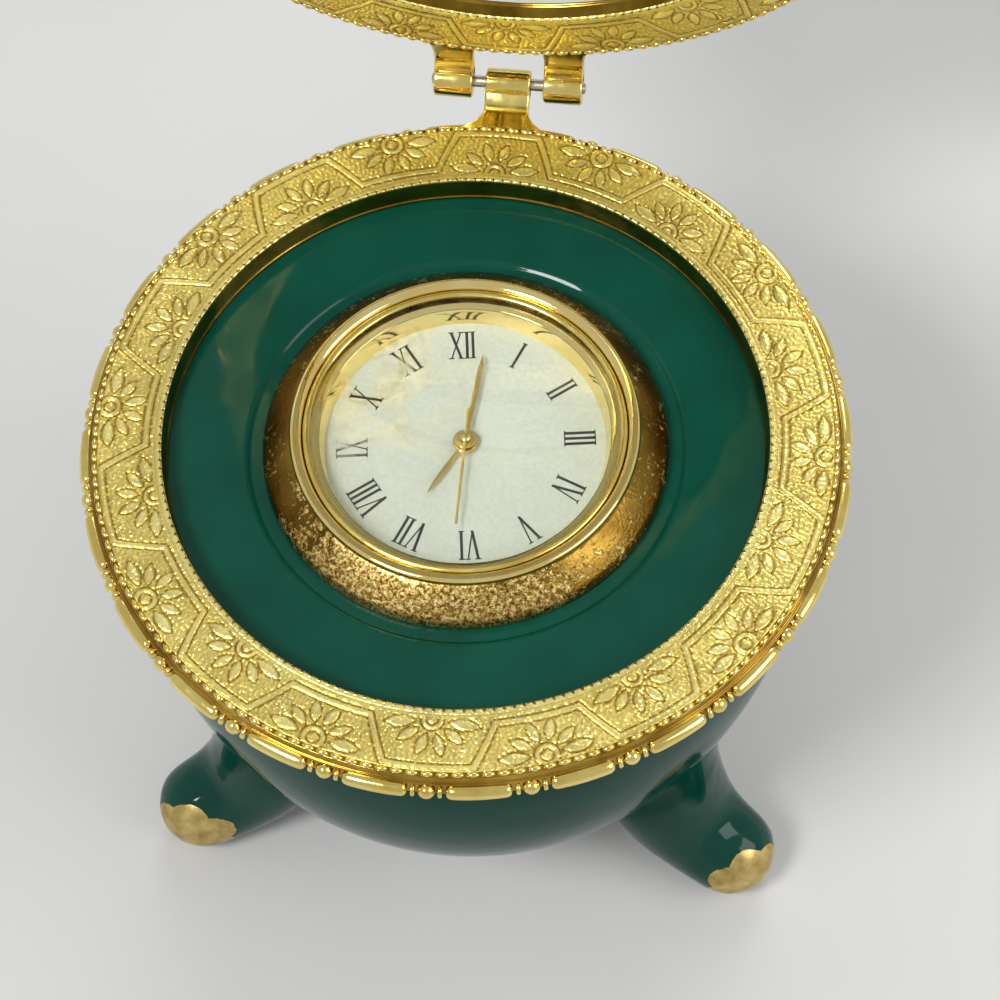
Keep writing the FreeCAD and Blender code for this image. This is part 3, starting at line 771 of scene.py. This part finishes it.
def arm(left, right, radius, flare):
    """A cast arm from the rim out to its knuckle, flared at its root, with softened edges."""
    middle, half = (left + right) / 2, (right - left) / 2
    rise, fall = BAND_GAP / 2 + radius * 0.8 - ARM_TOP, BAND_GAP / 2 - radius * 0.8 - ARM_LOW
    stations = 14
    verts, rows = [], []
    for i in range(stations + 1):
        t = i / stations
        y = ARM_START + (HINGE_REACH - ARM_START) * t
        wide = half + flare * (1 - min(t / 0.5, 1)) ** 2
        top = ARM_TOP + rise * max((t - 0.42) / 0.58, 0) ** 1.5
        low = ARM_LOW + fall * max((t - 0.5) / 0.5, 0) ** 2
        shape = softened([(-wide, top), (wide, top), (wide, low), (-wide, low)], steps=3)
        rows.append(next_ring(verts, len(shape)))
        verts += [(middle + across, y, up) for across, up in shape]
    return verts, join_rings(rows) + [tuple(rows[0]), tuple(reversed(rows[-1]))]


def build_hinge():
    centre = gather(
        barrel(-CENTRE_HALF, CENTRE_HALF, CENTRE_RADIUS, CENTRE_BORE),
        arm(-CENTRE_HALF, CENTRE_HALF, CENTRE_RADIUS, 1.9),
    )
    give(piece("bowl_hinge_knuckle", *centre, POLISHED, ON_BOWL), "bowl", "gilt_metal")
    sides = []
    for left, right in ((-SIDE_END, -SIDE_START), (SIDE_START, SIDE_END)):
        sides += [barrel(left, right, SIDE_RADIUS, SIDE_BORE), arm(left, right, SIDE_RADIUS, 0.3)]
    give(piece("lid_hinge_knuckles", *gather(*sides), POLISHED, ON_LID_BACK), "lid", "gilt_metal")
    end = SIDE_END + PIN_PROUD
    section = [(0, -end), (PIN_RADIUS, -end, 0.5), (PIN_RADIUS, end, 0.5), (0, end)]
    rod = lathe_mesh(softened(section, steps=6, closed=False), 32, closed=False, axis="X")
    made = piece("hinge_pin_steel", *moved(rod, HINGE_LINE), PIN, ON_BOWL)
    give(made, "bowl", "gilt_metal", "hinge_pin")


# Porcelain

def egg_radius(t, full):
    """Share of the widest radius at a share t of the way to the pole."""
    return math.sqrt(max(1 - t ** full, 0))


def egg_section(radius, depth, full, steps=40):
    """(radius, depth) from the widest ring to the pole, closer together near the pole."""
    points = []
    for i in range(steps + 1):
        t = math.sin(math.pi / 2 * i / steps) ** (1 / 1.15)
        points.append((radius * egg_radius(t, full), depth * t))
    return points


def smooth_line(points, per=6):
    """A Catmull-Rom line through (reach, height, radius) stations."""
    pts = [np.array(p, float) for p in points]
    pts = [2 * pts[0] - pts[1]] + pts + [2 * pts[-1] - pts[-2]]
    out = []
    for i in range(1, len(pts) - 2):
        for k in range(per):
            t = k / per
            a, b, c, d = pts[i - 1:i + 3]
            out.append(0.5 * (2 * b + (c - a) * t + (2 * a - 5 * b + 4 * c - d) * t ** 2
                              + (3 * b - a - 3 * c + d) * t ** 3))
    return out + [pts[-2]]


# The middle of the bowl's wall, where the legs end
ROOT_RADIUS, ROOT_DEPTH = 30.2, 49.6


def leg_mesh(degrees):
    """A round leg that runs out of the egg's side to a rounded toe."""
    line = smooth_line(LEG)
    sides = 40
    hoops = []
    for i, (reach, height, radius) in enumerate(line):
        near, far = line[max(i - 1, 0)], line[min(i + 1, len(line) - 1)]
        way = Vector((far[0] - near[0], 0, far[1] - near[1])).normalized()
        if i == len(line) - 1:
            way = Vector((1, 0, 0))
        hoops.append((Vector((reach, 0, height)), way, radius))
    tip, way, radius = hoops[-1]
    # The toe's round end
    for k in range(1, 10):
        turn = math.pi / 2 * k / 10
        hoops.append((tip + way * radius * math.sin(turn), way, radius * math.cos(turn)))
    verts, rings = [], []
    for centre, way, radius in hoops:
        rings.append(next_ring(verts, sides))
        up = Vector((-way.z, 0, way.x))
        for k in range(sides):
            a = 2 * math.pi * k / sides
            verts.append(centre + up * radius * math.cos(a) + Vector((0, 1, 0)) * radius * math.sin(a))
    # Keep the root in the middle of the wall, out of the bowl's hollow
    for v in verts:
        t = (BOWL_SHOULDER - v.z) / ROOT_DEPTH
        if 0 < t < 1:
            wall = ROOT_RADIUS * egg_radius(t, BOWL_FULLNESS)
            here = math.hypot(v.x, v.y)
            if 1e-6 < here < wall:
                v.xy *= wall / here
    rings.append(next_ring(verts, 1))
    verts.append(tip + Vector((LEG[-1][2], 0, 0)))
    faces = join_rings(rings) + [tuple(reversed(rings[0]))]
    return moved((verts, faces), Matrix.Rotation(math.radians(degrees), 4, "Z"))


def bowl_shell_mesh():
    """The bowl's egg with its hollow, open at the mouth."""
    section = [(EGG_RADIUS - BOWL_WALL, BOWL_MOUTH)]
    inner = egg_section(EGG_RADIUS - BOWL_WALL, BOWL_DEPTH - BOWL_WALL, BOWL_FULLNESS)
    outer = egg_section(EGG_RADIUS, BOWL_DEPTH, BOWL_FULLNESS)
    section += [(radius, BOWL_SHOULDER - depth) for radius, depth in inner + outer[::-1]]
    return lathe_mesh(section + [(EGG_RADIUS, BOWL_MOUTH)], 180)


def build_bowl():
    """The bowl with its legs, fused into one skin and faired where they meet."""
    solids = [bowl_shell_mesh()] + [leg_mesh(degrees) for degrees, _ in LEG_TURNS]
    shell = piece("porcelain_bowl_glazed", *gather(*solids), GREEN_BOWL, sharp=None)
    shell.data.transform(Matrix.Scale(1 / MM, 4))
    fuse = shell.modifiers.new("fuse", "REMESH")
    fuse.mode = "VOXEL"
    fuse.voxel_size = 0.72
    fair = shell.modifiers.new("fair", "SMOOTH")
    fair.factor = 0.5
    fair.iterations = 8
    plain = bpy.data.meshes.new_from_object(shell.evaluated_get(bpy.context.evaluated_depsgraph_get()))
    shell.modifiers.clear()
    points = np.empty(len(plain.vertices) * 3)
    plain.vertices.foreach_get("co", points)
    points = points.reshape(-1, 3)
    # The soles are flat
    points[:, 2] = np.maximum(points[:, 2], 0.0)
    toe_reach, toe_height, _ = LEG[-1]
    measures = np.full((3, len(points)), -TOE_FIELD)
    away = np.full(len(points), TOE_FAR)
    for degrees, lean in LEG_TURNS:
        leg, patch = math.radians(degrees), math.radians(degrees + lean)
        off = points - np.array([toe_reach * math.cos(leg), toe_reach * math.sin(leg), toe_height])
        reach = np.linalg.norm(off, axis=1)
        away = np.minimum(away, reach)
        near = reach < TOE_FIELD
        ahead = np.array([math.cos(patch), math.sin(patch), 0.0])
        side = np.array([-math.sin(patch), math.cos(patch), 0.0])
        for row, aim in zip(measures, (ahead, side, np.array([0.0, 0.0, 1.0]))):
            row[near] = (off @ aim)[near]
    for name, row in zip(TOE_MEASURES, [*measures, away]):
        plain.attributes.new(name, "FLOAT", "POINT").data.foreach_set("value", row.astype(np.float32))
    plain.vertices.foreach_set("co", points.ravel())
    plain.transform(Matrix.Scale(MM, 4) @ IN_PLACE)
    plain.materials.clear()
    plain.materials.append(GREEN_BOWL)
    plain.shade_smooth()
    shell.data = plain
    give(shell, "bowl", "green_porcelain", "porcelain_bowl")


def build_lid():
    """The dome, green outside and white inside, made shut and swung open."""
    foot, shoulder = RIM_TOP + BAND_GAP + 0.95, RIM_TOP + BAND_GAP + 3.0
    middle_radius, middle_depth = EGG_RADIUS - LID_WALL / 2, LID_DEPTH - LID_WALL / 2
    skins = []
    for wall, low in ((0.0, [(EGG_RADIUS, foot), (EGG_RADIUS, foot + 0.6)]),
                      (LID_WALL, [(EGG_RADIUS - LID_WALL, foot)])):
        dome = egg_section(EGG_RADIUS - wall, LID_DEPTH - wall, LID_FULLNESS)
        section = [(middle_radius, foot - 0.02)] + low + [(r, shoulder + d) for r, d in dome]
        skins.append(lathe_mesh(section, 180, closed=False))
    made = piece("lid_shell_glazed", *gather(*skins), GREEN, LID_SWING, sharp=50)
    made.data.materials.append(WHITE)
    # The inner skin is the one on the axis side of the wall's middle
    back = (Matrix.Scale(MM, 4) @ LID_SWING).inverted()
    for polygon in made.data.polygons:
        spot = back @ polygon.center
        rise = (spot.z - shoulder) / middle_depth
        limit = middle_radius * egg_radius(min(max(rise, 0), 1), LID_FULLNESS)
        polygon.material_index = int(math.hypot(spot.x, spot.y) < limit and rise < 1)
    give(made, "lid", "green_porcelain", "lid_shell")


def build_deck():
    """The glazed deck: gently crowned, with a soft step down to the clock's seat."""
    section = softened([
        (16.9, -2.95, 0.1), (19.1, -2.95, 0.12), (19.5, -2.66, 0.25), (22.5, -2.60, 0.8),
        (27.0, -2.66, 0.4), (28.4, -2.70, 0.3), (28.4, -4.4, 0.3), (16.9, -4.4, 0.2),
    ], steps=5)
    made = piece("deck_glazed", *lathe_mesh(section, 200), GREEN, ON_BOWL, sharp=60)
    give(made, "bowl", "green_porcelain", "deck_plate")


# Clock insert: heights are from the bezel's seat, and a part's outline has (radius, height,
# softening) at each corner

def insert_ring(name, outline, skin, *nodes, steps=4, sharp=60, sides=200, slot="gilt_metal"):
    """A turned ring of the insert."""
    section = softened(outline, steps=steps)
    made = piece(name, *lathe_mesh(section, sides), skin, ON_INSERT, sharp=sharp)
    give(made, "clock_insert", slot, *nodes)


def build_insert():
    insert_ring("bezel_slope", [
        (14.45, 0.02, 0.05), (17.9, 0.02, 0.12), (18.0, 0.5, 0.2), (17.8, 1.1, 0.4), (16.7, 2.25, 1.0),
        (15.5, 3.3, 0.3), (15.1, 3.4, 0.1), (14.7, 3.1, 0.1), (14.45, 2.4, 0.1),
    ], BEZEL, "bezel", steps=6, sharp=50)
    # The lip is in the paler gilding, whose paleness is painted highlight
    insert_ring("bezel_lip", [
        (15.42, 3.1, 0.1), (15.42, 3.55, 0.2), (15.2, 3.9, 0.2), (14.5, 3.72, 0.3),
        (14.32, 3.45, 0.12), (14.3, 2.8, 0.05), (15.2, 2.8, 0.05),
    ], MIRROR_PAINTED_HIGHLIGHT, steps=6)
    insert_ring("bezel_crystal_seat", [
        (14.26, 3.31, 0.02), (14.2, 3.5, 0.1), (13.95, 3.62, 0.15), (13.62, 3.5, 0.1),
        (13.55, 3.31, 0.05),
    ], POLISHED)
    # The reflector cone too is in the paler gilding, painted highlight
    insert_ring("reflector_cone", [
        (12.1, 0.4, 0.02), (12.76, 2.18, 0.1), (13.3, 2.27, 0.1), (13.9, 2.28, 0.05),
        (14.22, 2.28, 0.02), (14.22, 0.4, 0.02),
    ], MIRROR_PAINTED_HIGHLIGHT, "reflector_ring")
    pane = [(0, 2.32, 0), (14.22, 2.32, 0.05), (14.22, 3.25, 0.2), (0, 3.3, 0)]
    pane = lathe_mesh(softened(pane, closed=False, steps=3), 160, closed=False)
    made = piece("crystal_pane", *pane, GLASS, ON_INSERT, sharp=50)
    give(made, "clock_insert", "crystal_glass", "crystal")
    insert_ring("dial_painted", [
        (0.86, 0.0, 0), (14.2, 0.0, 0), (14.2, 0.38, 0.03), (0.86, 0.38, 0.03),
    ], DIAL, "dial", steps=2, sharp=50, sides=160, slot="dial_paint")
    build_numerals()
    build_hands()


# Numerals: the reaches of their feet and heads, letter widths, and the widths of their strokes

NUMERALS = ("XII", "I", "II", "III", "IV", "V", "VI", "VII", "VIII", "IX", "X", "XI")
FOOT_REACH, HEAD_REACH = 8.5, 11.25
WIDTHS = {"I": 0.52, "V": 1.42, "X": 1.42}
SERIF, HAIR, STEM = 0.10, 0.125, 0.25


def stroke(x0, y0, x1, y1, width):
    """A slanted bar with level ends, as (x, y) corners."""
    return [(x0 - width / 2, y0), (x0 + width / 2, y0), (x1 + width / 2, y1), (x1 - width / 2, y1)]


def serif(x, y, half=0.25):
    """A short level bar across a stroke's end."""
    return stroke(x, y, x, y + SERIF, 2 * half)


def letter(kind, left, tall):
    """The strokes of I, V or X from the left edge, on a line of the given height."""
    wide = WIDTHS[kind]
    top = tall - SERIF
    middle = left + wide / 2
    if kind == "I":
        return [stroke(middle, 0, middle, tall, STEM), serif(middle, 0), serif(middle, top)]
    near, far = left + 0.28, left + wide - 0.26
    if kind == "V":
        return [
            stroke(near, tall, middle + 0.04, 0, STEM), stroke(far, tall, middle + 0.02, 0, HAIR),
            serif(near, top, 0.27), serif(far, top, 0.23),
        ]
    strokes = [stroke(near, tall, far, 0, STEM), stroke(far, tall, near, 0, HAIR)]
    return strokes + [serif(x, y) for y in (top, 0) for x in (near, far)]


def build_numerals():
    """Roman numerals with their feet to the centre, as thin prisms of ink."""
    prisms = []
    for hour, text in enumerate(NUMERALS):
        left = -sum(WIDTHS[kind] for kind in text) / 2
        turn = Matrix.Rotation(math.radians(-30 * hour), 4, "Z")
        for kind in text:
            for corners in letter(kind, left, HEAD_REACH - FOOT_REACH):
                verts = [(x, y + FOOT_REACH, z) for z in (INK_LOW, INK_TOP) for x, y in corners]
                faces = [(4, 5, 6, 7), (3, 2, 1, 0)] + join_rings([[0, 1, 2, 3], [4, 5, 6, 7]])
                prisms.append(moved((verts, faces), turn))
            left += WIDTHS[kind]
    made = piece("dial_numerals", *gather(*prisms), PRINT, ON_INSERT, sharp=30)
    give(made, "clock_insert", "dial_paint")


def blade(outline, low, thick, crown):
    """A hand's blade from (half width, along) stations, with a ridge down its middle."""
    verts, rings = [], []
    for half, along in outline:
        rings.append(next_ring(verts, 5))
        verts += [(-half, along, low), (half, along, low), (half, along, low + thick),
                  (0, along, low + thick + crown * half), (-half, along, low + thick)]
    return verts, join_rings(rings) + [tuple(reversed(rings[0])), tuple(rings[-1])]


def hub(outer, low, high, bore=0.0, dome=0.0):
    """A hand's round middle: a ring where it has a bore, and otherwise a domed button."""
    if bore:
        section = softened([(bore, low), (outer, low), (outer, high), (bore, high)], 0.06)
        return lathe_mesh(section, 48)
    section = softened([
        (0, low), (outer, low, 0.05), (outer, high, 0.1), (outer * 0.6, high + dome * 0.7, 0.1),
        (0, high + dome),
    ], closed=False)
    return lathe_mesh(section, 48, closed=False)


def build_hands():
    hour = gather(
        blade([(0.16, 0.5), (0.17, 1.6), (0.24, 3.4), (0.21, 4.6), (0.04, 5.88)], 0.64, 0.10, 0.22),
        hub(1.14, 0.64, 0.78, 0.5), hub(0.7, 0.2, 0.66, 0.52),
    )
    minute = gather(
        blade([(0.18, 0.4), (0.2, 2.6), (0.24, 5.6), (0.21, 7.4), (0.04, 8.58)], 0.98, 0.10, 0.22),
        hub(0.9, 0.98, 1.13, 0.22), hub(0.42, 0.2, 1.0, 0.23),
    )
    second = gather(
        blade([(0.11, 8.5), (0.14, 0.2), (0.14, -0.2), (0.19, -2.4), (0.16, -2.98)], 1.33, 0.06, 0.25),
        hub(0.44, 1.32, 1.46, dome=0.16), hub(0.14, 0.2, 1.34),
    )
    for name, mesh, degrees, body in (
        ("hour_hand", hour, 215.5, "hours"), ("minute_hand", minute, 12.2, "minutes"),
        ("second_hand", second, 187.5, "seconds"),
    ):
        turn = Matrix.Rotation(math.radians(-degrees), 4, "Z")
        made = piece(name + "_gilt", *moved(mesh, turn), HANDS, ON_INSERT, sharp=25)
        give(made, body, "hand_gilt", name)


def dress_inner_parts():
    """Gives the parts inside the insert, which keep their solids' shapes, their finishes."""
    skins = {
        "case_cup": STEEL, "back_cap": STEEL, "battery": STEEL, "battery_strap": STEEL,
        "setting_stem": STEEL, "crown": CROWN, "movement": MOVEMENT, "grip_ring": GRIP,
    }
    for node, skin in skins.items():
        for material_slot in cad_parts[node].material_slots:
            material_slot.material = skin


# Floor, light and camera

FLOOR_HALF = 1500


def build_floor():
    low, high = -FLOOR_HALF, FLOOR_HALF
    corners = [(low, low, 0), (high, low, 0), (high, high, 0), (low, high, 0)]
    floor = piece("studio_floor", corners, [(0, 1, 2, 3)], stage_paper(), sharp=None)


def soft_box(name, spot, aim, size, watts):
    """A square white light that looks at a point, in millimetres."""
    data = bpy.data.lights.new(name, "AREA")
    data.size = size * MM
    data.energy = watts
    way = (Vector(aim) - Vector(spot)).to_track_quat("-Z", "Y").to_matrix().to_4x4()
    in_scene(name, data).matrix_world = Matrix.Translation(Vector(spot) * MM) @ way


def light_room():
    """Three soft boxes in a pale room whose ceiling is darker than its walls, so that gilding has
    something to show."""
    soft_box("key_light", (-260, -330, 620), (0, AXIS_Y, 50), 180, 3.0)
    soft_box("fill_light", (520, -160, 420), (0, AXIS_Y, 40), 380, 1.6)
    soft_box("back_light", (60, 560, 560), (0, 0, 50), 420, 2.4)
    world = bpy.data.worlds.new("studio_room")
    world.use_nodes = True
    tree = world.node_tree
    tree.nodes.clear()
    way = add(tree, "ShaderNodeTexCoord", out="Generated")
    height = add(tree, "ShaderNodeSeparateXYZ", (way,), "Z")
    room = add(tree, RAMP, (height,), stops=[(0.0, "#e2e2e0"), (0.3, "#d6d6d4"), (0.8, "#d2d2d0")])
    back = add(tree, "ShaderNodeBackground", {"Strength": 0.8, "Color": room})
    add(tree, "ShaderNodeOutputWorld", (back,))
    bpy.context.scene.world = world


# The photograph's camera, in millimetres from the middle of the rim: how far out and how high it
# stands and in which direction, the point it looks at, its roll, and its lens on a 36 mm frame
CAMERA_AZIMUTH, CAMERA_OUT, CAMERA_HEIGHT = math.radians(9.4), 122.56, 212.37
CAMERA_AIM, CAMERA_ROLL, CAMERA_LENS = (3.76, -6.61, 0.0), math.radians(-2.48), 100.8


def set_camera():
    eye = Vector((0, -CAMERA_OUT, CAMERA_HEIGHT))
    eye.rotate(Matrix.Rotation(CAMERA_AZIMUTH, 3, "Z"))
    forward = (Vector(CAMERA_AIM) - eye).normalized()
    right = forward.cross(Vector((0, 0, 1))).normalized()
    above = right.cross(forward)
    level, lean = math.cos(CAMERA_ROLL), math.sin(CAMERA_ROLL)
    right, above = right * level + above * lean, above * level - right * lean
    lens = bpy.data.cameras.new("photo_camera")
    lens.sensor_width = 36.0
    lens.lens = CAMERA_LENS
    lens.clip_start = 0.01
    camera = in_scene("photo_camera", lens)
    turned = Matrix((right, above, -forward)).transposed().to_4x4()
    camera.matrix_world = Matrix.Translation((eye + Vector((0, AXIS_Y, RIM_TOP))) * MM) @ turned
    bpy.context.scene.camera = camera
    bpy.context.scene.view_settings.view_transform = "Standard"


build_rims()
build_hinge()
build_bowl()
build_lid()
build_deck()
build_insert()
dress_inner_parts()
build_floor()
light_room()
set_camera()
